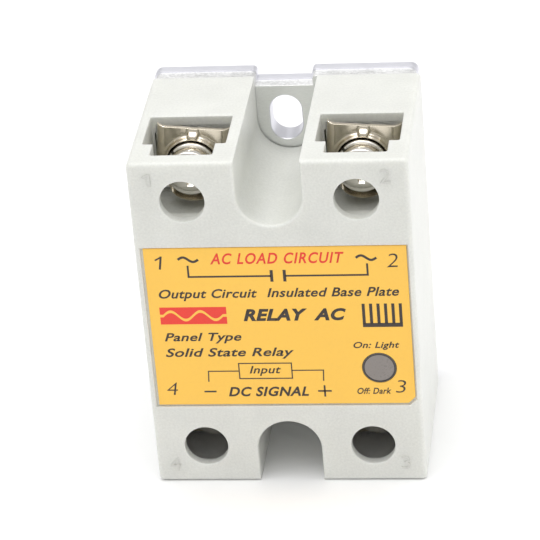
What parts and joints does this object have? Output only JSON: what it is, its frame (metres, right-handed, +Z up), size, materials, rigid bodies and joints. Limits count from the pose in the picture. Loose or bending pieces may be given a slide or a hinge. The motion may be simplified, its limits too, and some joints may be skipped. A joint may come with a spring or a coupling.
{
  "type": "solid state relay",
  "caption": "Panel-mount solid state relay: grey moulded housing on an aluminium base plate, amber front label, screw clamp terminals reached through end windows.",
  "frame": {"origin": "middle of the footprint, on the surface the relay stands on when it is set on its lower end", "axes": "+Z up along the longest side, towards the load terminals; -Y out of the labelled front; +Y out of the base plate, towards the heat sink; +X to the right as the label is read"},
  "size_m": [0.045, 0.0358, 0.06],
  "materials": {
    "housing": "fine matte moulded plastic, light grey",
    "plate": "brushed and sheared aluminium",
    "label": "satin printed film, amber yellow",
    "lens": "smoked translucent plastic",
    "nickel": "bright nickel plate",
    "screw_steel": "bright nickel-plated steel",
    "copper": null,
    "ceramic": "white alumina",
    "silicon": "polished silicon",
    "board": "green laminate",
    "black_epoxy": "black moulding compound",
    "film_case": "red epoxy-filled case",
    "varistor_coat": "blue dipped coating",
    "resistor_coat": "tan coating",
    "led_epoxy": "red LED epoxy",
    "sealant": "white silicone sealant"
  },
  "bodies": {
    "root": {"housing": "housing", "base_plate": "plate", "seal_bead": "sealant", "front_label": "label", "status_lens": "lens", "terminal_nut_1": "nickel", "terminal_nut_2": "nickel", "terminal_nut_3": "nickel", "terminal_nut_4": "nickel", "load_busbar_1": "copper", "load_busbar_2": "copper", "input_strip_3": "nickel", "input_strip_4": "nickel", "ceramic_substrate": "ceramic", "copper_pad_1": "copper", "copper_pad_2": "copper", "thyristor_die_1": "silicon", "thyristor_die_2": "silicon", "jumper_clip_1": "copper", "jumper_clip_2": "copper", "gate_lead_1": "copper", "gate_lead_2": "copper", "circuit_board": "board", "status_led": "led_epoxy", "optocoupler": "black_epoxy", "input_transistor": "black_epoxy", "snubber_capacitor": "film_case", "varistor": "varistor_coat", "snubber_resistor": "resistor_coat", "input_resistor_1": "resistor_coat", "input_resistor_2": "resistor_coat", "protection_diode": "black_epoxy", "gate_resistor": "resistor_coat"},
    "clamp_1": {"wire_clamp_1": "nickel"},
    "screw_1": {"terminal_screw_1": "screw_steel", "lock_washer_1": "screw_steel"},
    "clamp_2": {"wire_clamp_2": "nickel"},
    "screw_2": {"terminal_screw_2": "screw_steel", "lock_washer_2": "screw_steel"},
    "clamp_3": {"wire_clamp_3": "nickel"},
    "screw_3": {"terminal_screw_3": "screw_steel", "lock_washer_3": "screw_steel"},
    "clamp_4": {"wire_clamp_4": "nickel"},
    "screw_4": {"terminal_screw_4": "screw_steel", "lock_washer_4": "screw_steel"}
  },
  "joints": [
    {"name": "clamp_1_slide", "type": "slide", "parent": "root", "child": "clamp_1", "axis": [0, -1, 0], "range_m": [0, 0.0042]},
    {"name": "screw_1_turn", "type": "hinge", "parent": "clamp_1", "child": "screw_1", "pos_m": [-0.01395, -0.00565, 0.05305], "axis": [0, -1, 0], "range_deg": [0, 2160]},
    {"name": "clamp_2_slide", "type": "slide", "parent": "root", "child": "clamp_2", "axis": [0, -1, 0], "range_m": [0, 0.0042]},
    {"name": "screw_2_turn", "type": "hinge", "parent": "clamp_2", "child": "screw_2", "pos_m": [0.01395, -0.00565, 0.05305], "axis": [0, -1, 0], "range_deg": [0, 2160]},
    {"name": "clamp_3_slide", "type": "slide", "parent": "root", "child": "clamp_3", "axis": [0, -1, 0], "range_m": [0, 0.0042]},
    {"name": "screw_3_turn", "type": "hinge", "parent": "clamp_3", "child": "screw_3", "pos_m": [0.01395, -0.00565, 0.00695], "axis": [0, -1, 0], "range_deg": [0, 2160]},
    {"name": "clamp_4_slide", "type": "slide", "parent": "root", "child": "clamp_4", "axis": [0, -1, 0], "range_m": [0, 0.0042]},
    {"name": "screw_4_turn", "type": "hinge", "parent": "clamp_4", "child": "screw_4", "pos_m": [-0.01395, -0.00565, 0.00695], "axis": [0, -1, 0], "range_deg": [0, 2160]}
  ],
  "couplings": [
    {"joint": "screw_1_turn", "follows": "clamp_1_slide", "rad_per_m": 8976},
    {"joint": "screw_2_turn", "follows": "clamp_2_slide", "rad_per_m": 8976},
    {"joint": "screw_3_turn", "follows": "clamp_3_slide", "rad_per_m": 8976},
    {"joint": "screw_4_turn", "follows": "clamp_4_slide", "rad_per_m": 8976}
  ]
}
